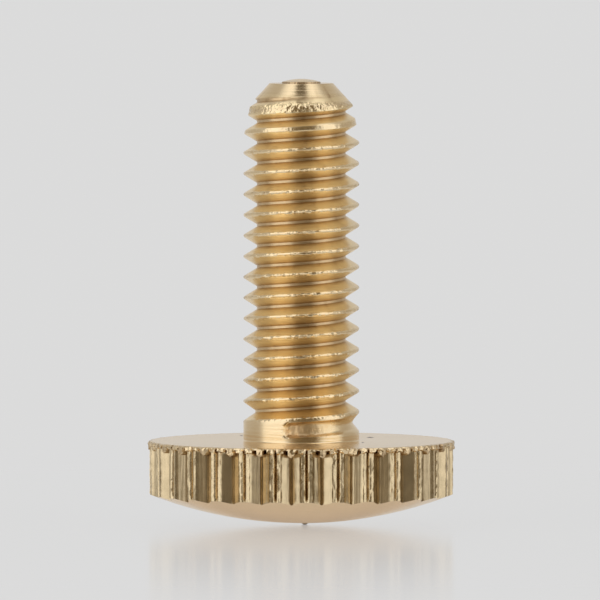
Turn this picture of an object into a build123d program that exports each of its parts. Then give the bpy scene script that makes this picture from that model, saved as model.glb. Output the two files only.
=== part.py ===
from build123d import *
import os
from math import atan2, ceil, cos, degrees, hypot, radians, tan

# Thumb screw, turned from one brass bar. It stands on its domed head with the thread upwards.
# The origin is the middle of its foot and +Z runs up the screw. All sizes are in millimetres, angles in degrees.
# Angles about the screw count from +X towards +Y, so 270 is the front.

# Head: a thick disc, domed below and faced flat above. It stands on a small flat in the middle of the dome.
head_diameter = 10.24
rim_height = 1.81
dome_rise = 1.04
foot_diameter = 2.0

# Lip of metal pushed up by the knurling, left standing round the top edge.
lip_height = 0.18
lip_overhang = 0.06

# Straight knurl pressed into the rim, up to the lip.
knurl_teeth = 30
knurl_depth = 0.24
knurl_floor_width = 0.06
knurl_flank_angle = 54
knurl_first_groove_angle = 278.1

# Shank, from the flat face of the head to the flat end.
shank_length = 12.1

# Right-hand metric thread. Its depth follows from the pitch and the two flats.
thread_diameter = 3.92
thread_pitch = 0.7
thread_crest_width = 0.09
thread_root_width = 0.08
thread_flank_angle = 30

# Run-out: the groove starts bluntly above a plain collar, as wide as elsewhere but shallow. The shares of its full
# depth hold at its start and half a turn on, and after one turn it is as deep as elsewhere.
runout_height = 0.43
runout_angle = 253
runout_depth_shares = (0.3, 0.7)

# Tip: a taper over the first turns, a steeper lead-in cone, a flat end and the low nub left in its middle.
taper_angle = 12
lead_in_diameter = 3.46
lead_in_angle = 42
tip_flat_diameter = 2.16
nub_diameter = 1.28
nub_wall_height = 0.05
nub_dome_rise = 0.1

# How far a cutting shape, or a shape sunk into another, reaches past the surface they share.
overrun = 0.2

head_radius = head_diameter / 2
thread_radius = thread_diameter / 2
face_height = dome_rise + rim_height
end_height = face_height + shank_length


def knurled_head():
    """The disc with its knurl and lip, domed by a ball that meets the foot and the lower edge of the rim."""
    foot_radius = foot_diameter / 2
    ball_height = (head_radius**2 + dome_rise**2 - foot_radius**2) / (2 * dome_rise)
    ball_radius = hypot(foot_radius, ball_height)
    ball = Pos(0, 0, ball_height) * Rot(90, 0, 0) * Sphere(ball_radius)
    lip_base = face_height - lip_height
    on_base = (Align.CENTER, Align.CENTER, Align.MIN)
    disc = Cylinder(head_radius, lip_base, align=on_base)
    lip = Pos(0, 0, lip_base) * Cylinder(head_radius + lip_overhang, lip_height, align=on_base)
    grooves = PolarLocations(0, knurl_teeth, start_angle=knurl_first_groove_angle) * knurl_groove()
    return (disc - grooves & ball) + lip


def knurl_groove():
    """One groove, a prism along the rim with its floor towards the axis and its mouth towards +X."""
    floor = head_radius - knurl_depth
    mouth = head_radius + overrun
    floor_half = knurl_floor_width / 2
    mouth_half = floor_half + (mouth - floor) * tan(radians(knurl_flank_angle))
    section = Polyline(
        (floor, -floor_half),
        (mouth, -mouth_half),
        (mouth, mouth_half),
        (floor, floor_half),
        close=True,
    )
    return extrude(make_face(section), face_height + overrun)


def half_turn(start, end, start_angle):
    """Half a turn of a right-hand helix between two (radius, height) points."""
    start_radius, start_height = start
    end_radius, end_height = end
    rise = end_height - start_height
    lean = degrees(atan2(end_radius - start_radius, rise))
    pitch = 2 * rise / cos(radians(lean))
    return Rot(0, 0, start_angle) * Edge.make_helix(pitch, rise, start_radius, (0, 0, start_height), angle=lean)


def half_circle(height, start_angle):
    """Half of the shank's outer circle."""
    return Edge.make_circle(thread_radius, Plane.XY.offset(height), start_angle, start_angle + 180)


def groove_corners(step, full_depth):
    """The groove's four corners as (radius, height), from its lower lip to its upper lip, after some half turns."""
    shares = dict(enumerate(runout_depth_shares))
    depth = full_depth * shares.get(step, 1)
    root = thread_radius - depth
    middle = face_height + runout_height + step * thread_pitch / 2
    lip_half = (thread_pitch - thread_crest_width) / 2
    root_half = lip_half - depth * tan(radians(thread_flank_angle))
    return [
        (thread_radius, middle - lip_half),
        (root, middle - root_half),
        (root, middle + root_half),
        (thread_radius, middle + lip_half),
    ]


def threaded_rod():
    """A rod whose skin is sewn from half-turn strips of groove and crest. It runs past both ends of the shank."""
    slope = tan(radians(thread_flank_angle))
    full_depth = (thread_pitch - thread_crest_width - thread_root_width) / (2 * slope)
    steps = 2 * ceil((end_height - face_height - runout_height) / thread_pitch + 2)
    bottom = face_height - overrun
    top = face_height + runout_height + (steps + 2) * thread_pitch / 2

    angles = [runout_angle + 180 * step for step in range(steps + 1)]
    corners = [groove_corners(step, full_depth) for step in range(steps + 1)]
    lines = [
        [half_turn(a, b, angles[step]) for a, b in zip(corners[step], corners[step + 1])]
        for step in range(steps)
    ]
    bottom_rim = [half_circle(bottom, angle) for angle in angles[:2]]
    top_rim = [half_circle(top, angle) for angle in angles[:2]]
    lower_lips = [line[0] for line in lines]
    upper_lips = [line[-1] for line in lines]

    pairs = [pair for line in lines for pair in zip(line, line[1:])]
    pairs += zip(upper_lips, lower_lips[2:])
    pairs += zip(bottom_rim, lower_lips)
    pairs += zip(upper_lips[-2:], top_rim)
    skin = [Face.make_surface_from_curves(low, high) for low, high in pairs]

    ends = [Face(Wire(bottom_rim)), Face(Wire(top_rim))]
    for step in (0, steps):
        outline = Wire.make_polygon([(radius, 0, height) for radius, height in corners[step]])
        ends.append(Rot(0, 0, angles[step]) * Face(outline))
    return Solid(Shell(skin + ends))


def shank_envelope():
    """Everything inside the taper, the lead-in cone, the flat end and the nub."""
    lead_in_radius = lead_in_diameter / 2
    reach = max(thread_radius, lead_in_radius) + overrun
    flat_radius = tip_flat_diameter / 2
    nub_radius = nub_diameter / 2
    lead_in_height = end_height - (lead_in_radius - flat_radius) / tan(radians(lead_in_angle))
    taper_height = lead_in_height - (reach - lead_in_radius) / tan(radians(taper_angle))
    nub_edge = (nub_radius, end_height + nub_wall_height)
    nub_top = (0, end_height + nub_wall_height + nub_dome_rise)
    side = Polyline(
        (0, 0),
        (reach, 0),
        (reach, taper_height),
        (lead_in_radius, lead_in_height),
        (flat_radius, end_height),
        (nub_radius, end_height),
        nub_edge,
    )
    nub = TangentArc(nub_top, nub_edge, tangent=(1, 0))
    axis = Line(nub_top, (0, 0))
    return revolve(Plane.XZ * make_face([side, nub, axis]), Axis.Z)


screw = knurled_head() + (shank_envelope() & threaded_rod())

os.makedirs("parts", exist_ok=True)
export_step(screw.solid(), "parts/thumb_screw.step")
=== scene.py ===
from math import pi, radians, tan
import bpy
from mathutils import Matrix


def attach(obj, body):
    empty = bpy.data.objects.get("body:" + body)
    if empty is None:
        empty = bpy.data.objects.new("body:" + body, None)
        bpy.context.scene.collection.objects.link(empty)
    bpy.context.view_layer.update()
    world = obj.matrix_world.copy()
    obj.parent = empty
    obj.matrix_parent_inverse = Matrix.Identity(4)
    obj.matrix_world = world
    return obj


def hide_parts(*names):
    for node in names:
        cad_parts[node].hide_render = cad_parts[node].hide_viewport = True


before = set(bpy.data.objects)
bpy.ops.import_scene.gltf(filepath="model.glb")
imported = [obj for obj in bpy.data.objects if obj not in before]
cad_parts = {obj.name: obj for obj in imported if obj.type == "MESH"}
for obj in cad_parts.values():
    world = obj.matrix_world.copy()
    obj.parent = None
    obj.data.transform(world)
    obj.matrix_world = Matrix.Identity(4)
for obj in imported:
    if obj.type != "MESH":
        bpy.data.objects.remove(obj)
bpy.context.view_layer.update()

from types import SimpleNamespace

import bmesh
import bpy
from mathutils import Vector


# Head: a thick disc turned from brass bar, faced flat on top and domed underneath, with a straight knurl
# rolled into its rim. The rolling pushed up a ragged lip round the top edge, and parting off left a tiny
# pip on the dome. Sizes are in millimetres, and the origin is where the pip touches the floor.
FIRST_GROOVE_DEGREES = 278.1
head = dict(
    head_radius=5.12,
    face_height=2.85,
    dome_rise=0.97,
    pip_height=0.07,
    pip_radius=0.12,
    pip_offset=0.12,
    tooth_count=30,
    first_groove_angle=radians(FIRST_GROOVE_DEGREES),
    groove_depth=0.28,
    groove_runup=0.5,
    throat_half_width=0.10,
    throat_depth=0.19,
    mouth_half_width=0.35,
    burr_half_width=0.022,
    burr_rise=0.04,
    ear_rise=0.03,
    flake_rise=0.035,
    stria_rise=0.014,
    chip_depth=0.04,
    cleft_half_width=0.04,
    cleft_depth=0.12,
    cleft_stray=0.16,
    lip_height=0.18,
    lip_overhang=0.05,
    lip_undercut=0.035,
    lip_bulge=0.03,
    lip_shoulder=0.02,
    lip_rounding=0.07,
    lip_inset=0.12,
    lump_drop=0.14,
    crumb_rise=0.19,
    pocket_depth=0.22,
    depth_spread=1.6,
    lip_spread=1.2,
    lump_spread=1.5,
    overhang_spread=2.4,
    shank_foot_radius=2.0,
    seed=509.0,
)

# Half a tooth is twelve columns wide, from the floor of its groove to the middle of the cleft in its land.
THROAT = 2
MOUTH = 6
CLEFT_SIDE = 10
CLEFT = 12
COLUMNS_PER_TOOTH = 2 * CLEFT
HEAD_COLUMNS = COLUMNS_PER_TOOTH * head["tooth_count"]
DOME_ROWS = 18
RIM_ROWS = 26
LIP_ROWS = 7
FACE_ROWS = 12

# Below these rows of the dome, and above these rows of the face, so many more columns fold into one.
DOME_FOLDS = ((15, 1), (11, 2), (7, 4), (3, 16))
FACE_FOLDS = ((1, 1), (2, 2))

# Rows of the dome between which the columns move to the edges of the teeth, and between which the pip's
# shift ends.
TEETH_ROWS = (12, 17)
PIP_SHIFT_ROWS = (4, 10)

# How the rings of the dome crowd towards the rim, and how narrow the margin is that swells with the teeth.
RING_POWER = 2.6
MARGIN_POWER = 40.0

# Shares of the throat's width and depth, the pip's and the head's radius, the pocket's depth and the lip's
# height.
THROAT_FLOOR_SHARE = 0.25
FLANK_FOOT_SHARE = 0.12
PIP_EDGE_SHARES = (0.7, 1.1)
FACE_RING_SHARE = 0.9
CLEFT_POCKET_SHARE = 0.45
LIP_ROW_SHARES = (0, 0.05, 0.22, 0.50, 0.74, 0.92, 1)

# Waves to the millimetre of each unevenness, each way. Those of single teeth count teeth, and crumbs
# count rows.
HEAD_WAVES = SimpleNamespace(
    tooth_stray=(5.73, 0, 0),
    tooth_depth=(7.31, 0, 0),
    tooth_side=(3.17, 5.3, 0),
    flakes=(9, 9, 2.6),
    wander=(1.6, 1.6, 0.7),
    striae=(16, 16, 0.3),
    chips=(3.1, 3.1, 2.4),
    blobs=(4.3, 4.3, 0),
    crumbs=(5, 5, 0.6),
)

# How dark each place of the head is made. Smears and flakes are dirt. The pockets under the lip, the places
# under each lump and the clefts of the lands are painted shade. The pip is painted black, as shade where it
# meets the floor and as a dark speck. The throats and flanks of the grooves are simply made darker. At 1 it
# is brown, and at 2 black.
HEAD_DIRT_AND_SHADE = SimpleNamespace(
    throat=0.15, flank=0.1, flakes=0.2, cleft=0.6, smears=0.6, pocket=1.3, under_lump=0.3, pip=2.0
)

# Nicks in the face, each with its place, half its width and half its depth. They stain the metal so far down
# and so strongly.
FACE_NICKS = ((2.35, 1.8, 0.14, 0.32), (2.08, -1.2, 0.05, 0.30), (-2.04, 3.0, 0.06, 0.25))
NICK_REACH = 0.05
NICK_DIRT = 1.8

# Bare brass is bright where a tool has passed last, golden on the flanks of the thread and olive on the
# rolled knurl. It is rose on the dome, in the roots of the thread and where the groove starts, partly as
# painted warm light bounced from the floor and between brass walls. Brown to black is dirt, and it is also
# painted shade in the hollows under the lip, in clefts and roots, and where the pip meets the floor.
BRASS_LIGHT = (0.85, 0.685, 0.44, 1)
BRASS_DARK = (0.79, 0.615, 0.38, 1)
BRASS_GOLD = (0.91, 0.735, 0.45, 1)
BRASS_OLIVE = (0.54, 0.44, 0.275, 1)
BRASS_ROSE_AND_WARM_LIGHT = (0.81, 0.605, 0.36, 1)
# Brown tarnish and black serve both for dirt and for painted shade.
BRASS_TARNISH_AND_SHADE = (0.34, 0.21, 0.10, 1)
BRASS_BLACK_DIRT_AND_SHADE = (0.05, 0.035, 0.025, 1)
BRASS_EDGE = (1.0, 0.97, 0.93, 1)
BRASS_WAVES = SimpleNamespace(
    cloud=(1.1, 1.1, 1.1),
    stains=(2.6, 2.6, 2.6),
    speck=(7, 7, 7),
    grit=(13, 13, 13),
    rings=(13, 0.4, 13),
    bars=(14, 14, 0.8),
)
BRASS_ROUGHNESS = SimpleNamespace(plain=0.20, cloud=0.08, speck=0.06, dull=0.12, torn=-0.08, black_dirt_and_shade=0.2)
BRASS_GRAIN = SimpleNamespace(rings=0.9, bars=0.5, speck=1.5, grit=0.5, torn=3)
GRAIN_STRENGTH = 0.6

# Lengths in metres: a millimetre, the height of the grain, and how close points are that become one.
MILLIMETRE = 0.001
GRAIN_HEIGHT = 0.00002
WELD_DISTANCE = 0.0000015


def feed(slot, value):
    """Sets a node's input to a plain value, or links it to a field or an output."""
    if isinstance(value, Field):
        value = value.socket
    if isinstance(value, bpy.types.NodeSocket):
        slot.id_data.links.new(value, slot)
    else:
        slot.default_value = value


class Field:
    """A number that varies over a surface, inside a node tree. Sums with it lay the tree's Math nodes."""

    def __init__(self, socket):
        self.socket = socket

    def math(self, operation, *others):
        node = self.socket.id_data.nodes.new("ShaderNodeMath")
        node.operation = operation
        for slot, value in zip(node.inputs, (self, *others)):
            feed(slot, value)
        return Field(node.outputs[0])

    def __add__(self, other):
        return self.math("ADD", other)

    def __sub__(self, other):
        return self.math("SUBTRACT", other)

    def __mul__(self, other):
        return self.math("MULTIPLY", other)

    def __truediv__(self, other):
        return self.math("DIVIDE", other)

    def __rsub__(self, other):
        return self * -1 + other

    def __lt__(self, other):
        return self.math("LESS_THAN", other)

    def __gt__(self, other):
        return self.math("GREATER_THAN", other)

    __radd__ = __add__
    __rmul__ = __mul__

    def share(self, start, end, smooth=False):
        """How far the field has come from start to end, held between 0 and 1."""
        node = self.socket.id_data.nodes.new("ShaderNodeMapRange")
        node.interpolation_type = "SMOOTHSTEP" if smooth else "LINEAR"
        for slot, value in zip(node.inputs, (self, start, end)):
            feed(slot, value)
        return Field(node.outputs[0])

    def span(self, start, full, last, end):
        """One between full and last, falling to zero at start and end."""
        return self.share(start, full) * (1 - self.share(last, end))

    def along(self, *stops):
        """Straight steps from stop to stop, each a (position, value) pair."""
        total = stops[0][1]
        for (start, low), (end, high) in zip(stops, stops[1:]):
            total = self.share(start, end) * (high - low) + total
        return total


def vector_of(tree, x, y, z):
    node = tree.nodes.new("ShaderNodeCombineXYZ")
    for slot, value in zip(node.inputs, (x, y, z)):
        feed(slot, value)
    return node.outputs[0]


def noise(tree, place, per_mm, seed, detail=2.0):
    """Smooth noise, mostly between -0.5 and 0.5, with so many waves to the millimetre each way."""
    node = tree.nodes.new("ShaderNodeTexNoise")
    node.noise_dimensions = "4D"
    scaled = [value * waves if isinstance(value, Field) else value for value, waves in zip(place, per_mm)]
    feed(node.inputs["Vector"], vector_of(tree, *scaled))
    feed(node.inputs["W"], seed)
    feed(node.inputs["Scale"], 1.0)
    feed(node.inputs["Detail"], detail)
    return Field(node.outputs[0]) - 0.5


def colour_mix(tree, share, low, high):
    node = tree.nodes.new("ShaderNodeMix")
    node.data_type = "RGBA"
    feed(node.inputs["Factor"], share)
    feed(node.inputs["A"], low)
    feed(node.inputs["B"], high)
    return node.outputs["Result"]


def attribute(tree, name):
    node = tree.nodes.new("ShaderNodeAttribute")
    node.attribute_name = name
    return Field(node.outputs["Fac"])


def make_brass():
    material = bpy.data.materials.new("turned_brass")
    material.use_nodes = True
    tree = material.node_tree
    shader = tree.nodes["Principled BSDF"]
    shader.inputs["Metallic"].default_value = 1.0
    shader.inputs["Specular Tint"].default_value = BRASS_EDGE

    millimetres = tree.nodes.new("ShaderNodeMapping")
    millimetres.inputs["Scale"].default_value = [1 / MILLIMETRE] * 3
    feed(millimetres.inputs["Vector"], tree.nodes.new("ShaderNodeTexCoord").outputs["Object"])
    split = tree.nodes.new("ShaderNodeSeparateXYZ")
    feed(split.inputs[0], millimetres.outputs[0])
    x, y, z = (Field(output) for output in split.outputs)
    radius = (x * x + y * y).math("SQRT")

    dirt_and_painted_shade = attribute(tree, "dirt_and_painted_shade")
    torn = attribute(tree, "torn")
    knurled = attribute(tree, "knurled")
    dull = attribute(tree, "dull")
    rosy_and_warm_light = attribute(tree, "rosy_and_warm_light")

    cloud = noise(tree, (x, y, z), BRASS_WAVES.cloud, 3.0, 4.0)
    stains = noise(tree, (x, y, z), BRASS_WAVES.stains, 9.0, 4.0)
    speck = noise(tree, (x, y, z), BRASS_WAVES.speck, 8.0, 1.0)
    grit = noise(tree, (x, y, z), BRASS_WAVES.grit, 4.0, 1.0)
    rings = noise(tree, (radius, x, z), BRASS_WAVES.rings, 5.0, 4.0)
    bars = noise(tree, (x, y, z), BRASS_WAVES.bars, 6.0, 3.0)

    nicks = 0
    for place_x, place_y, half_width, half_depth in FACE_NICKS:
        across = (x - place_x) / half_width
        along = (y - place_y) / half_depth
        nicks = nicks + (1 - (across * across + along * along + speck * 2).share(0.5, 1.0))
    nicks = nicks * (z > head["face_height"] - NICK_REACH)

    tone = colour_mix(tree, (cloud * 1.2 + speck * 0.4 + 0.5).share(0, 1), BRASS_DARK, BRASS_LIGHT)
    tone = colour_mix(tree, (dull * (1 - knurled)).share(0, 1), tone, BRASS_GOLD)
    # Rose tone of the dome, the roots and the groove's start, partly painted warm bounce light.
    tone = colour_mix(tree, rosy_and_warm_light, tone, BRASS_ROSE_AND_WARM_LIGHT)
    tone = colour_mix(tree, knurled * (stains * 1.2 + bars * 0.8 + 0.72).share(0, 1), tone, BRASS_OLIVE)
    # Dirt and painted shade carried by the meshes, and the face's nicks, darken the brass to brown and then
    # to black.
    tarnish_and_shade = dirt_and_painted_shade + stains * 0.5 * dirt_and_painted_shade.share(0, 0.3) + nicks * NICK_DIRT
    tone = colour_mix(tree, tarnish_and_shade.share(0, 1), tone, BRASS_TARNISH_AND_SHADE)
    black_dirt_and_shade = tarnish_and_shade.share(1, 2)
    feed(shader.inputs["Base Color"], colour_mix(tree, black_dirt_and_shade, tone, BRASS_BLACK_DIRT_AND_SHADE))

    rough = (
        BRASS_ROUGHNESS.plain
        + cloud * BRASS_ROUGHNESS.cloud
        + speck * BRASS_ROUGHNESS.speck
        + dull * BRASS_ROUGHNESS.dull
        + torn * BRASS_ROUGHNESS.torn
        + black_dirt_and_shade * BRASS_ROUGHNESS.black_dirt_and_shade
    )
    feed(shader.inputs["Roughness"], rough.share(0, 1))

    smooth = 1 - knurled.math("MAXIMUM", torn)
    grain = rings * BRASS_GRAIN.rings * smooth + bars * knurled * BRASS_GRAIN.bars
    grain = grain + (speck * BRASS_GRAIN.speck + grit * BRASS_GRAIN.grit) * torn * BRASS_GRAIN.torn - nicks
    bump = tree.nodes.new("ShaderNodeBump")
    bump.inputs["Strength"].default_value = GRAIN_STRENGTH
    bump.inputs["Distance"].default_value = GRAIN_HEIGHT
    feed(bump.inputs["Height"], grain)
    feed(shader.inputs["Normal"], bump.outputs["Normal"])
    return material


def named_inputs(tree, sizes):
    """Gives the tree an input for each size and returns them as fields."""
    for name, value in sizes.items():
        socket = tree.interface.new_socket(name, in_out="INPUT", socket_type="NodeSocketFloat")
        socket.default_value = value
    entry = tree.nodes.new("NodeGroupInput")
    return SimpleNamespace(**{name: Field(entry.outputs[name]) for name in sizes})


def lay_grid(tree, columns, rows):
    """A flat sheet of quads, with the column and row number of each of its points."""
    grid = tree.nodes.new("GeometryNodeMeshGrid")
    for slot, value in zip(grid.inputs, (float(columns), float(rows), columns + 1, rows + 1)):
        slot.default_value = value
    split = tree.nodes.new("ShaderNodeSeparateXYZ")
    feed(split.inputs[0], tree.nodes.new("GeometryNodeInputPosition").outputs[0])
    column = (Field(split.outputs[0]) + columns / 2).math("ROUND")
    row = (Field(split.outputs[1]) + rows / 2).math("ROUND")
    return grid.outputs["Mesh"], column, row


def wrap_grid(tree, sheet, marks, x, y, z):
    """Bends the sheet to places given in millimetres, closes it where its edges meet and makes it brass."""
    for name, value in marks.items():
        mark = tree.nodes.new("GeometryNodeStoreNamedAttribute")
        mark.inputs["Name"].default_value = name
        feed(mark.inputs["Geometry"], sheet)
        feed(mark.inputs["Value"], value)
        sheet = mark.outputs["Geometry"]
    bend = tree.nodes.new("GeometryNodeSetPosition")
    feed(bend.inputs["Geometry"], sheet)
    feed(bend.inputs["Position"], vector_of(tree, x * MILLIMETRE, y * MILLIMETRE, z * MILLIMETRE))
    weld = tree.nodes.new("GeometryNodeMergeByDistance")
    weld.inputs["Distance"].default_value = WELD_DISTANCE
    feed(weld.inputs["Geometry"], bend.outputs["Geometry"])
    real = tree.nodes.new("GeometryNodeRealizeInstances")
    feed(real.inputs["Geometry"], weld.outputs["Geometry"])
    finish = tree.nodes.new("GeometryNodeSetMaterial")
    finish.inputs["Material"].default_value = brass
    feed(finish.inputs["Geometry"], real.outputs["Geometry"])
    tree.interface.new_socket("Geometry", in_out="OUTPUT", socket_type="NodeSocketGeometry")
    feed(tree.nodes.new("NodeGroupOutput").inputs["Geometry"], finish.outputs["Geometry"])


def grow(tree, sizes):
    """The plain mesh object that the tree makes from the given sizes."""
    grown = bpy.data.objects.new(tree.name, bpy.data.meshes.new(tree.name))
    bpy.context.scene.collection.objects.link(grown)
    modifier = grown.modifiers.new(tree.name, "NODES")
    modifier.node_group = tree
    for item in tree.interface.items_tree:
        if item.name in sizes:
            modifier[item.identifier] = float(sizes[item.name])
    depsgraph = bpy.context.evaluated_depsgraph_get()
    mesh = bpy.data.meshes.new_from_object(
        grown.evaluated_get(depsgraph), preserve_all_data_layers=True, depsgraph=depsgraph
    )
    grown.modifiers.clear()
    grown.data = mesh
    return grown


def head_tree():
    tree = bpy.data.node_groups.new("knurled_head", "GeometryNodeTree")
    size = named_inputs(tree, head)
    lip_row = DOME_ROWS + RIM_ROWS
    face_row = lip_row + LIP_ROWS
    last_row = face_row + FACE_ROWS
    sheet, column, row = lay_grid(tree, HEAD_COLUMNS, last_row)

    # Rings near the axis need fewer points, so their columns fold together in steps.
    fold = 1
    for above, more in FACE_FOLDS:
        fold = fold + more * (row > face_row + above)
    for below, more in DOME_FOLDS:
        fold = fold + more * (row < below)
    column = (column / fold + 0.5).math("FLOOR") * fold

    # Across one tooth the columns stand on the edges of its floor, flank, land and cleft.
    tooth = (column / COLUMNS_PER_TOOTH).math("FLOOR")
    step = column - tooth * COLUMNS_PER_TOOTH
    half = step.math("PINGPONG", CLEFT)
    past_cleft = step > CLEFT
    half_pitch = pi * size.head_radius / size.tooth_count
    arc = half.along(
        (0, 0),
        (1, size.throat_half_width * THROAT_FLOOR_SHARE),
        (THROAT, size.throat_half_width),
        (MOUTH - 1, size.mouth_half_width - size.burr_half_width),
        (MOUTH, size.mouth_half_width),
        (MOUTH + 1, size.mouth_half_width + size.burr_half_width),
        (CLEFT_SIDE, half_pitch - size.cleft_half_width),
        (CLEFT, half_pitch),
    )
    arc = arc + past_cleft * 2 * (half_pitch - arc)
    ridge_number = tooth.math("FLOORED_MODULO", size.tooth_count)
    groove_number = (tooth + past_cleft).math("FLOORED_MODULO", size.tooth_count)
    stray = noise(tree, (ridge_number, 0.0, 0.0), HEAD_WAVES.tooth_stray, size.seed + 6)
    arc = arc + stray * half.share(MOUTH - 1, CLEFT_SIDE) * size.cleft_stray
    toothed_angle = (tooth * 2 * half_pitch + arc) / size.head_radius
    even_angle = column * (2 * pi / HEAD_COLUMNS)
    evenness = 1 - row.span(*TEETH_ROWS, face_row, face_row + 2)
    angle = size.first_groove_angle + toothed_angle + (even_angle - toothed_angle) * evenness
    across = angle.math("COSINE")
    along = angle.math("SINE")

    # Rolled teeth: no two grooves are quite as deep. Each is steeper in its throat and has a burr along its
    # mouth, and the flaky lands between them are split along the middle.
    up_rim = row.share(DOME_ROWS, lip_row)
    on_ring = (across * size.head_radius, along * size.head_radius, up_rim * size.face_height)
    throat = 1 - half.share(1, 3)
    land = half.share(MOUTH - 0.5, MOUTH + 0.5)
    uneven = noise(tree, (groove_number, 0.0, 0.0), HEAD_WAVES.tooth_depth, size.seed)
    flakes = noise(tree, on_ring, HEAD_WAVES.flakes, size.seed + 1, 3.0)
    wander = noise(tree, on_ring, HEAD_WAVES.wander, size.seed + 2)
    striae = noise(tree, on_ring, HEAD_WAVES.striae, size.seed + 3)
    chips = noise(tree, on_ring, HEAD_WAVES.chips, size.seed + 7).share(0.15, 0.28)
    groove = half.along(
        (0, size.groove_depth),
        (THROAT, size.throat_depth),
        (MOUTH - 1, size.throat_depth * FLANK_FOOT_SHARE),
        (MOUTH, 0),
    )
    burr = half.span(MOUTH - 1, MOUTH, MOUTH, MOUTH + 1.5) * (flakes * 2 + 0.5)
    ears = half.span(MOUTH, MOUTH + 2, CLEFT_SIDE - 1.5, CLEFT_SIDE + 0.5) * (wander * 2 + 0.6)
    cleft = half.share(CLEFT_SIDE - 0.5, CLEFT - 0.5) * (1 + flakes) * up_rim.share(0.0, 0.1)
    relief = (
        burr * size.burr_rise
        + ears * size.ear_rise
        + land * flakes * size.flake_rise
        + striae * size.stria_rise
        - land * chips * size.chip_depth
        - groove * (1 + uneven * size.depth_spread)
        - cleft * size.cleft_depth
    )

    # Dome: rings from the pip out to the toothed edge. Where a groove cuts its margin the last rings crowd
    # together.
    ring = (row.share(0, DOME_ROWS) * (pi / 2)).math("SINE").math("POWER", RING_POWER)
    swell = relief.math("MAXIMUM", 0.0) * ring.math("POWER", MARGIN_POWER)
    groove_end = size.head_radius + relief - (1 - ring) * size.groove_runup
    dome_radius = (size.head_radius * ring + swell).math("MINIMUM", groove_end)
    ball_reach = size.head_radius * size.head_radius + size.dome_rise * size.dome_rise
    ball_radius = ball_reach / (2 * size.dome_rise)
    drop = (ball_radius * ball_radius - dome_radius * dome_radius).math("SQRT")
    pip_edge = [size.pip_radius * share for share in PIP_EDGE_SHARES]
    pip = 1 - dome_radius.share(*pip_edge, smooth=True)
    dome_height = size.pip_height * (1 - pip) + ball_radius - drop
    shift = size.pip_offset * (1 - row.share(*PIP_SHIFT_ROWS, smooth=True))

    # Lip: each groove ends in a lump of metal that hangs over it, with a pocket on one side or both that is
    # painted dark as shade, and smaller lumps stand over the lands.
    lump = 1 - half.share(0.5, 3.4, smooth=True)
    sided = noise(tree, (groove_number, past_cleft, 0.0), HEAD_WAVES.tooth_side, size.seed + 8)
    pocket = half.span(THROAT, THROAT + 1, THROAT + 1, THROAT + 2) * sided.share(-0.18, 0.05)
    pocket = pocket + half.share(CLEFT_SIDE, CLEFT - 0.5) * CLEFT_POCKET_SHARE
    blobs = noise(tree, (*on_ring[:2], 0.0), HEAD_WAVES.blobs, size.seed + 4, 3.0)
    crumbs = noise(tree, (*on_ring[:2], row), HEAD_WAVES.crumbs, size.seed + 5)
    lip_drop = size.lip_height * (1 + blobs * size.lip_spread)
    lip_drop = lip_drop + size.lump_drop * lump * (1 + uneven * size.lump_spread)
    lip_radius = size.head_radius + size.lip_overhang * (0.5 + blobs * size.overhang_spread + lump)
    lip_radius = lip_radius + crumbs * size.crumb_rise
    sunk = lip_radius - size.pocket_depth * pocket
    height = dome_height + up_rim * (size.face_height - lip_drop - dome_height)
    lip_stops = [(lip_row + rows_up, share) for rows_up, share in enumerate(LIP_ROW_SHARES)]
    height = height + lip_drop * row.along(*lip_stops)
    radius = row.along(
        (lip_row, dome_radius),
        (lip_row + 1, sunk - size.lip_undercut),
        (lip_row + 2, sunk),
        (lip_row + 3, sunk + blobs * size.lip_bulge),
        (lip_row + 4, lip_radius),
        (lip_row + 5, lip_radius - size.lip_shoulder),
        (lip_row + 6, lip_radius - size.lip_rounding),
        (face_row, size.head_radius - size.lip_inset),
        (face_row + 3, size.head_radius * FACE_RING_SHARE),
        (last_row, size.shank_foot_radius),
    )

    # What the brass shows at each point: dirt and painted shade, torn metal, the knurl's olive, dullness and
    # the dome's rose, which is partly painted warm light reflected from the floor.
    on_lip = row.span(lip_row, lip_row + 1, face_row - 1, face_row)
    on_rim = row.span(DOME_ROWS - 1, DOME_ROWS, face_row - 1, face_row)
    under_lip = row.span(lip_row - 2, lip_row, lip_row + 2, lip_row + 4)
    smears = up_rim.share(0.6, 1) * wander.share(0.12, 0.25)
    # Painted shade in the clefts of the lands. The throats and flanks of the grooves are made darker, and
    # flakes and smears are dirt.
    rim_dirt_and_shade = (
        throat * HEAD_DIRT_AND_SHADE.throat
        + (1 - land) * HEAD_DIRT_AND_SHADE.flank
        + land * flakes.share(0.0, 0.25) * HEAD_DIRT_AND_SHADE.flakes
        + cleft * HEAD_DIRT_AND_SHADE.cleft
        + smears * HEAD_DIRT_AND_SHADE.smears
    )
    # Painted shade in the pockets under the lip and under each lump.
    lip_painted_shade = pocket * HEAD_DIRT_AND_SHADE.pocket + throat * HEAD_DIRT_AND_SHADE.under_lump
    marks = {
        # The pip is painted black, as shade where it meets the floor and as a dark speck.
        "dirt_and_painted_shade": on_rim * rim_dirt_and_shade + under_lip * lip_painted_shade + pip * HEAD_DIRT_AND_SHADE.pip,
        "torn": land * on_rim * (0.3 + burr * 0.4) + on_lip * 0.9,
        "knurled": on_rim * (1 - on_lip) * (1 - land * 0.3),
        "dull": land * on_rim * (1 - on_lip) * 0.85,
        "rosy_and_warm_light": row < DOME_ROWS,
    }
    wrap_grid(tree, sheet, marks, radius * across + shift, radius * along, height)
    return tree


brass = make_brass()
head_object = grow(head_tree(), head)


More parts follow.
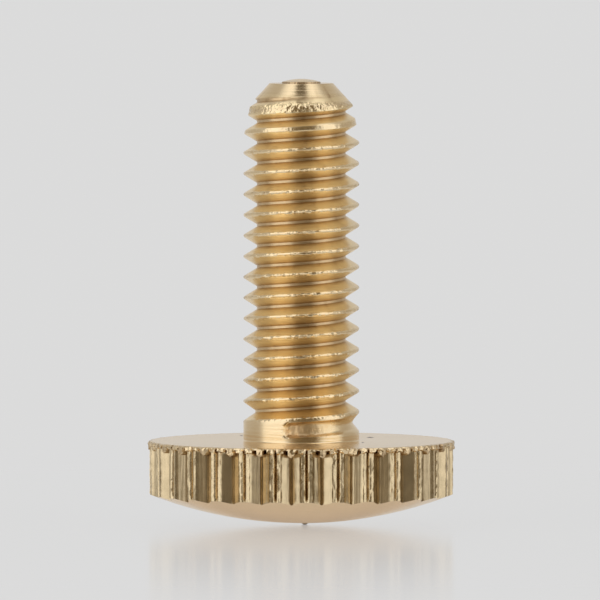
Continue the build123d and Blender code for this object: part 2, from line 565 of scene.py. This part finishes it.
# Shank: a plain collar above the head's face, then a right-hand thread cut by a die in the same bar. The
# groove starts raggedly in the collar and deepens over one turn. The taper at the tip has torn the crest
# of the first turn, and a low nub is left in the middle of the flat end.
SEAM_DEGREES_BACK = 188
shank = dict(
    face_height=head["face_height"],
    end_height=14.95,
    collar_radius=1.96,
    fillet=0.04,
    seam_angle=radians(FIRST_GROOVE_DEGREES - SEAM_DEGREES_BACK),
    pitch=0.7,
    crest_half_width=0.045,
    crest_drop=0.02,
    crest_wear_inner=0.03,
    crest_wear_outer=0.10,
    root_half_width=0.04,
    first_crest_height=head["face_height"] - 0.2368,
    groove_depth=0.459,
    runout_turn=163.0 / 360,
    runout_narrowing=0.14,
    start_stray_turn=0.012,
    start_bow_turn=0.012,
    start_depth=0.06,
    start_rise=0.07,
    dent_depth=0.05,
    flake_rise=0.06,
    wave_rise=0.012,
    shred_rise=0.10,
    taper_slope=tan(radians(12)),
    lead_in_radius=1.72,
    lead_in_slope=tan(radians(42)),
    tip_flat_radius=1.08,
    smooth_cone_height=0.42,
    smear_full=0.6,
    smear_end=0.66,
    torn_from=0.62,
    torn_to=0.96,
    torn_fade_above=0.04,
    torn_fade_below=0.1,
    nub_radius=0.64,
    nub_step=0.02,
    nub_stray=0.06,
    nub_wall_height=0.05,
    nub_rise=0.1,
    seed=43.0,
)
SHANK_COLUMNS = HEAD_COLUMNS // 4
FLANK_ROWS = 7
PITCH_ROWS = 2 * (FLANK_ROWS + 2)
TURNS = 19
FILLET_ROWS = 4
TIP_ROWS = 14
CONE_ROWS = 4
NUB_ROW = 8
NUB_FOLD = 5
NUB_FOLD_ROWS = 3

# Turns about the start of the groove over which it opens, and how deep it is after so many turns, as
# shares of its full depth.
OPENING_TURNS = (-0.004, 0.010)
RUNOUT_DEPTH_SHARES = ((0, 0.40), (0.07, 0.24), (0.5, 0.7), (1, 1))

# Waves to the millimetre of each unevenness, each way.
SHANK_WAVES = SimpleNamespace(
    shreds=(7, 7, 9),
    strips=(9, 9, 2),
    dents=(4.2, 4.2, 4.2),
    flakes=(7, 7, 9),
    waves=(1.1, 1.1, 6),
    pits=(5, 5, 8),
    nub=(5, 5, 0),
    smears=(2.3, 2.3, 4),
    flank_stains=(2.2, 2.2, 3),
)

# How dark each place of the shank is made. Pits, smears, stains on the flanks and shreds of torn metal are
# dirt. The roots of the thread and the walls where the groove starts are painted shade, and the nub's edge
# is simply made darker. At 1 it is brown, and at 2 black.
SHANK_DIRT_AND_SHADE = SimpleNamespace(
    root=0.40, flank=0.28, pits=1.6, start_wall=0.5, shreds=0.5, nub_edge=0.6, smears=0.5
)


def shank_tree():
    tree = bpy.data.node_groups.new("threaded_shank", "GeometryNodeTree")
    size = named_inputs(tree, shank)
    tip_row = FILLET_ROWS + TURNS * PITCH_ROWS
    cone_row = tip_row + CONE_ROWS
    nub_row = tip_row + NUB_ROW
    last_row = tip_row + TIP_ROWS
    sheet, column, row = lay_grid(tree, SHANK_COLUMNS, last_row)
    fold = 1 + NUB_FOLD * (row > last_row - NUB_FOLD_ROWS)
    column = (column / fold + 0.5).math("FLOOR") * fold
    turn = column / SHANK_COLUMNS
    angle = size.seam_angle + turn * (2 * pi)
    across = angle.math("COSINE")
    along = angle.math("SINE")

    # Rows climb with the thread and stand on the edges of its crest, flanks and root. They start a turn
    # below the collar and end past the cone, and what reaches over is held at the foot of the collar or
    # of the cone.
    step = (row - FILLET_ROWS).math("MAXIMUM", 0.0)
    groove_number = (step / PITCH_ROWS).math("FLOOR")
    step = step - groove_number * PITCH_ROWS
    half = step.math("PINGPONG", PITCH_ROWS / 2)
    half_pitch = size.pitch / 2
    from_crest = half.along(
        (0, 0),
        (1, size.crest_half_width),
        (1 + FLANK_ROWS, half_pitch - size.root_half_width),
        (2 + FLANK_ROWS, half_pitch),
    )
    climb = from_crest + (step > PITCH_ROWS / 2) * 2 * (half_pitch - from_crest)
    run = groove_number + turn - 1
    collar_foot = size.face_height + size.fillet
    cone_foot = size.end_height - size.smooth_cone_height
    height = size.first_crest_height + size.pitch * run + climb
    height = height.math("MAXIMUM", collar_foot).math("MINIMUM", cone_foot)
    on_skin = (across * size.collar_radius, along * size.collar_radius, height)
    shreds = noise(tree, on_skin, SHANK_WAVES.shreds, size.seed + 2, 3.0)

    # Groove: it starts in the collar with a ragged end, as wide as elsewhere but shallow, and deepens
    # over one turn.
    past_start = run - size.runout_turn + shreds * size.start_stray_turn
    strips = noise(tree, on_skin, SHANK_WAVES.strips, size.seed + 6)
    from_root = (half_pitch - from_crest) / half_pitch
    bowed_start = past_start - from_root * from_root * size.start_bow_turn
    opened = bowed_start.share(*OPENING_TURNS, smooth=True)
    deepened = past_start.along(*RUNOUT_DEPTH_SHARES)
    profile = half.along((0, 0), (1, size.crest_drop), (1 + FLANK_ROWS, size.groove_depth))
    floor = size.groove_depth * deepened
    trough = (profile - (1 - deepened) * size.runout_narrowing).math("MINIMUM", floor)
    vee = profile * deepened
    cut = (trough + past_start.share(0.1, 0.3) * (vee - trough)).math("MAXIMUM", 0.0) * opened

    # Wear: dents and flakes along the crests, ragged metal where the groove starts, and torn metal where
    # the taper cuts the crests.
    dents = noise(tree, on_skin, SHANK_WAVES.dents, size.seed, 3.0).share(0.1, 0.3)
    flakes = noise(tree, on_skin, SHANK_WAVES.flakes, size.seed + 3)
    waves = noise(tree, on_skin, SHANK_WAVES.waves, size.seed + 1)
    pits = noise(tree, on_skin, SHANK_WAVES.pits, size.seed + 4).share(0.20, 0.27)
    on_groove = past_start.share(0.5, 0.8)
    crest = (1 - from_crest.share(size.crest_wear_inner, size.crest_wear_outer)) * on_groove
    near_start = 1 - past_start.math("ABSOLUTE").share(0.04, 0.2)
    at_start = near_start * cut.share(0.0, size.start_depth)
    start_wall = at_start * (cut / floor).span(0.1, 0.3, 0.8, 1) * past_start.share(0.02, 0.05)
    thread_radius = size.collar_radius - cut - crest * (dents * size.dent_depth - flakes * size.flake_rise)
    thread_radius = thread_radius + waves * on_groove * size.wave_rise + strips * at_start * size.start_rise
    to_end = size.end_height - height
    cone = size.tip_flat_radius + to_end * size.lead_in_slope
    lead_in_height = (size.lead_in_radius - size.tip_flat_radius) / size.lead_in_slope
    taper = size.lead_in_radius + (to_end - lead_in_height) * size.taper_slope
    torn = to_end.span(
        size.torn_from - size.torn_fade_above,
        size.torn_from,
        size.torn_to,
        size.torn_to + size.torn_fade_below,
    )
    envelope = cone.math("MINIMUM", taper) + torn * shreds * size.shred_rise
    radius = thread_radius.math("MINIMUM", envelope)

    # Fillet at the foot, and flat end with its nub at the tip.
    bend = row.share(0, FILLET_ROWS) * (pi / 2)
    radius = radius + size.fillet * (1 - bend.math("SINE")) * (1 - row.share(FILLET_ROWS - 1, FILLET_ROWS))
    height = height - size.fillet * bend.math("COSINE")
    height = height + row.along(
        (tip_row, 0),
        (cone_row, size.smooth_cone_height),
        (nub_row - 1, size.smooth_cone_height),
        (nub_row, size.smooth_cone_height + size.nub_wall_height),
    )
    nub_out = 1 - row.share(nub_row, last_row)
    height = height + size.nub_rise * (1 - nub_out * nub_out)
    ragged = noise(tree, (*on_skin[:2], 0.0), SHANK_WAVES.nub, size.seed + 5) * size.nub_stray
    tip_radius = row.along(
        (tip_row, size.tip_flat_radius + size.smooth_cone_height * size.lead_in_slope),
        (cone_row, size.tip_flat_radius),
        (nub_row - 1, size.nub_radius + size.nub_step + ragged),
        (nub_row, size.nub_radius + ragged),
        (last_row, 0),
    )
    on_tip = row > tip_row
    radius = radius + on_tip * (tip_radius - radius)

    # What the brass shows at each point: dirt, painted shade in the roots and where the groove starts, torn
    # metal, dullness, and the rose of the roots and the groove's start, which is partly painted warm bounce
    # light.
    on_thread = row.share(FILLET_ROWS, FILLET_ROWS + 1) * (1 - on_tip)
    on_nub_edge = row.span(nub_row - 2, nub_row - 1, nub_row, nub_row + 0.5)
    root = (cut / size.groove_depth).share(0.7, 1)
    smears = noise(tree, on_skin, SHANK_WAVES.smears, size.seed + 7, 3.0).share(0.04, 0.2)
    smears = smears * (1 - to_end.share(size.smear_full, size.smear_end))
    smears = smears * (1 - row.share(tip_row + 1, cone_row))
    flank_stains = noise(tree, on_skin, SHANK_WAVES.flank_stains, size.seed + 8, 3.0).share(0.02, 0.25)
    # Painted shade in the roots and on the walls where the groove starts. Pits, flank stains and shreds are
    # dirt.
    thread_dirt_and_shade = (
        root * SHANK_DIRT_AND_SHADE.root
        + flank_stains * on_groove * SHANK_DIRT_AND_SHADE.flank
        + pits * crest * SHANK_DIRT_AND_SHADE.pits
        + start_wall * SHANK_DIRT_AND_SHADE.start_wall
        + torn * shreds.share(-0.04, -0.2) * SHANK_DIRT_AND_SHADE.shreds
    )
    frayed = crest * (0.35 + 0.25 * (thread_radius < envelope))
    ripped = torn * (thread_radius > envelope) + at_start * 0.4 + frayed
    # The nub's edge is made darker.
    marks = {
        "dirt_and_painted_shade": on_thread * thread_dirt_and_shade + on_nub_edge * SHANK_DIRT_AND_SHADE.nub_edge + smears * SHANK_DIRT_AND_SHADE.smears,
        "torn": on_thread * ripped.math("MINIMUM", 1.0),
        "knurled": row * 0,
        "dull": on_thread * (on_groove * (1 - crest) + at_start * 2.1),
        "rosy_and_warm_light": on_thread * (root * 0.6 + at_start).math("MINIMUM", 1.0),
    }
    wrap_grid(tree, sheet, marks, radius * across, radius * along, height)
    return tree


shank_object = grow(shank_tree(), shank)


# Screw: head and shank are turned from one bar, so their meshes are welded round the foot of the collar
# into one closed skin of brass. Edges left by the tools stay sharp and the rest is smooth.
SLIVER_WIDTH = 0.0000005
SHARP_ANGLE = radians(38)
halves = [head_object, shank_object]
with bpy.context.temp_override(active_object=head_object, selected_editable_objects=halves):
    bpy.ops.object.join()
screw = head_object
screw.name = "brass_screw"
screw.data.name = "brass_screw"
skin = bmesh.new()
skin.from_mesh(screw.data)
bmesh.ops.remove_doubles(skin, verts=skin.verts, dist=WELD_DISTANCE)
bmesh.ops.dissolve_degenerate(skin, edges=skin.edges, dist=SLIVER_WIDTH)
skin.to_mesh(screw.data)
skin.free()
screw.data.shade_smooth()
screw.data.set_sharp_from_angle(angle=SHARP_ANGLE)
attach(screw, "root")
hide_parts("thumb_screw")


# Floor: one sheet of pale glossy board that runs far out on all sides, so that no edge of it is seen. It
# shows a soft image of the head, which fades away from the screw, and keeps the screw's shadow.
FLOOR_REACH = 4.0
FLOOR_COLOUR = (0.80, 0.80, 0.80, 1)
FLOOR_GLOW = (0.72, 0.72, 0.72, 1)
FLOOR_GLOW_SHARE = 0.92
FLOOR_GLOSS = (1, 1, 1, 1)
FLOOR_GLOSS_SHARE = 0.62
FLOOR_GLOSS_ROUGHNESS = 0.15
FLOOR_GLOSS_REACH = 0.022
FLOOR_GLOSS_POWER = 3.0
FLOOR_GLOSS_POWER_IN_METAL = 1.5
FLOOR_SLANT_BLEND = 0.5


def make_floor():
    material = bpy.data.materials.new("pale_board")
    material.use_nodes = True
    material.cycles.emission_sampling = "NONE"
    tree = material.node_tree
    tree.nodes.clear()
    matt = tree.nodes.new("ShaderNodeBsdfDiffuse")
    matt.inputs["Color"].default_value = FLOOR_COLOUR
    glow = tree.nodes.new("ShaderNodeEmission")
    glow.inputs["Color"].default_value = FLOOR_GLOW
    gloss = tree.nodes.new("ShaderNodeBsdfGlossy")
    gloss.inputs["Color"].default_value = FLOOR_GLOSS
    gloss.inputs["Roughness"].default_value = FLOOR_GLOSS_ROUGHNESS
    rays = tree.nodes.new("ShaderNodeLightPath")
    by_camera = Field(rays.outputs["Is Camera Ray"])
    by_metal = Field(rays.outputs["Is Glossy Ray"])
    seen = by_camera.math("MAXIMUM", by_metal).math("MAXIMUM", Field(rays.outputs["Is Transmission Ray"]))
    lit = tree.nodes.new("ShaderNodeMixShader")
    feed(lit.inputs["Fac"], seen * FLOOR_GLOW_SHARE)
    feed(lit.inputs[1], matt.outputs[0])
    feed(lit.inputs[2], glow.outputs[0])
    slant = tree.nodes.new("ShaderNodeLayerWeight")
    slant.inputs["Blend"].default_value = FLOOR_SLANT_BLEND
    facing = Field(slant.outputs["Facing"])
    away = tree.nodes.new("ShaderNodeVectorMath")
    away.operation = "LENGTH"
    feed(away.inputs[0], tree.nodes.new("ShaderNodeTexCoord").outputs["Object"])
    far = Field(away.outputs["Value"]) / FLOOR_GLOSS_REACH
    camera_gloss = facing.math("POWER", FLOOR_GLOSS_POWER) * FLOOR_GLOSS_SHARE / (far * far + 1)
    metal_gloss = facing.math("POWER", FLOOR_GLOSS_POWER_IN_METAL)
    both = tree.nodes.new("ShaderNodeMixShader")
    feed(both.inputs["Fac"], camera_gloss + by_metal * (metal_gloss - camera_gloss))
    feed(both.inputs[1], lit.outputs[0])
    feed(both.inputs[2], gloss.outputs[0])
    feed(tree.nodes.new("ShaderNodeOutputMaterial").inputs["Surface"], both.outputs[0])
    corners = [(-FLOOR_REACH, -FLOOR_REACH, 0), (FLOOR_REACH, -FLOOR_REACH, 0)]
    corners += [(FLOOR_REACH, FLOOR_REACH, 0), (-FLOOR_REACH, FLOOR_REACH, 0)]
    mesh = bpy.data.meshes.new("floor")
    mesh.from_pydata(corners, [], [(0, 1, 2, 3)])
    mesh.materials.append(material)
    floor = bpy.data.objects.new("floor", mesh)
    bpy.context.scene.collection.objects.link(floor)


make_floor()


# Light: a white tent round the screw, open towards the camera and in a small hole overhead, with a soft
# lamp behind each side wall. The room seen through the openings is dim and warm. Seen by the camera the
# tent is an even grey.
WALL_GREY = (0.705, 0.705, 0.705, 1)
ROOM_TINT = (1.0, 0.78, 0.48, 1)
WHITE = (1, 1, 1, 1)
ROOM_LEVEL = 0.10
OVERHEAD_LEVEL = 1.25
FRONT_TOP_LEVEL = 0.32

# Brightness of the tent by the angle in degrees from the camera's side, to the left and to the right.
TENT_LEVELS = (
    (-180, 0.70), (-165, 0.72), (-150, 0.62), (-135, 0.56), (-97, 0.52), (-88, 0.62), (-78, 1.28),
    (-35, 1.34), (-24, 0.52), (-13, 0.21), (10, 0.14), (30, 0.18), (44, 1.02), (56, 1.26), (80, 1.15),
    (93, 0.48), (125, 0.50), (150, 0.60), (180, 0.70),
)

# Where the tent changes, by how far a direction points up, sideways or back, from 0 to 1. Each change is
# soft and runs between two such shares. The last pair holds levels of brightness, between which the warm
# tint ends.
FRONT_TOP_SHARES = (0.4, 0.65)
OVERHEAD_SHARES = (0.78, 0.95)
HOLE_SHARES = (0.93, 0.96)
HOLE_SIDE_SHARES = (0.12, 0.22)
BACK_SHARES = (0.05, 0.45)
TINT_END_LEVELS = (0.25, 0.6)


def make_tent():
    world = bpy.data.worlds.new("tent")
    bpy.context.scene.world = world
    world.use_nodes = True
    tree = world.node_tree
    background = tree.nodes["Background"]
    split = tree.nodes.new("ShaderNodeSeparateXYZ")
    feed(split.inputs[0], tree.nodes.new("ShaderNodeTexCoord").outputs["Generated"])
    x, y, z = (Field(output) for output in split.outputs)
    level = (x.math("ARCTAN2", y * -1) * (180 / pi)).along(*TENT_LEVELS)
    ahead = 1 - y.share(*BACK_SHARES, smooth=True)
    front_top = z.share(*FRONT_TOP_SHARES, smooth=True) * ahead
    level = level + front_top * (level.math("MAXIMUM", FRONT_TOP_LEVEL) - level)
    level = level + z.share(*OVERHEAD_SHARES, smooth=True) * ahead * (OVERHEAD_LEVEL - level)
    hole = 1 - x.math("ABSOLUTE").share(*HOLE_SIDE_SHARES, smooth=True)
    hole = hole * z.share(*HOLE_SHARES, smooth=True) * ahead
    level = level + hole * (ROOM_LEVEL - level)
    tint = colour_mix(tree, level.share(*TINT_END_LEVELS), ROOM_TINT, WHITE)
    lit = colour_mix(tree, 1.0, tint, vector_of(tree, level, level, level))
    lit.node.blend_type = "MULTIPLY"
    rays = tree.nodes.new("ShaderNodeLightPath")
    feed(background.inputs["Color"], colour_mix(tree, rays.outputs["Is Camera Ray"], lit, WALL_GREY))


make_tent()


# Camera: a long lens a little above the tip, looking slightly down. Its lens and sensor are in
# millimetres and its other lengths in metres.
AIM = Vector((-0.000044, 0, 0.00761))
DISTANCE = 0.440
DOWN_ANGLE = radians(2.6)
LENS_LENGTH = 780
SENSOR_WIDTH = 36
NEAREST_SEEN = 0.01
FARTHEST_SEEN = 20
camera_data = bpy.data.cameras.new("camera")
camera_data.lens = LENS_LENGTH
camera_data.sensor_width = SENSOR_WIDTH
camera_data.clip_start = NEAREST_SEEN
camera_data.clip_end = FARTHEST_SEEN
camera = bpy.data.objects.new("camera", camera_data)
bpy.context.scene.collection.objects.link(camera)
away = Vector((0, -1, tan(DOWN_ANGLE))).normalized()
camera.location = AIM + away * DISTANCE
camera.rotation_euler = away.to_track_quat("Z", "Y").to_euler()
bpy.context.scene.camera = camera

bpy.context.scene.view_settings.view_transform = "Standard"
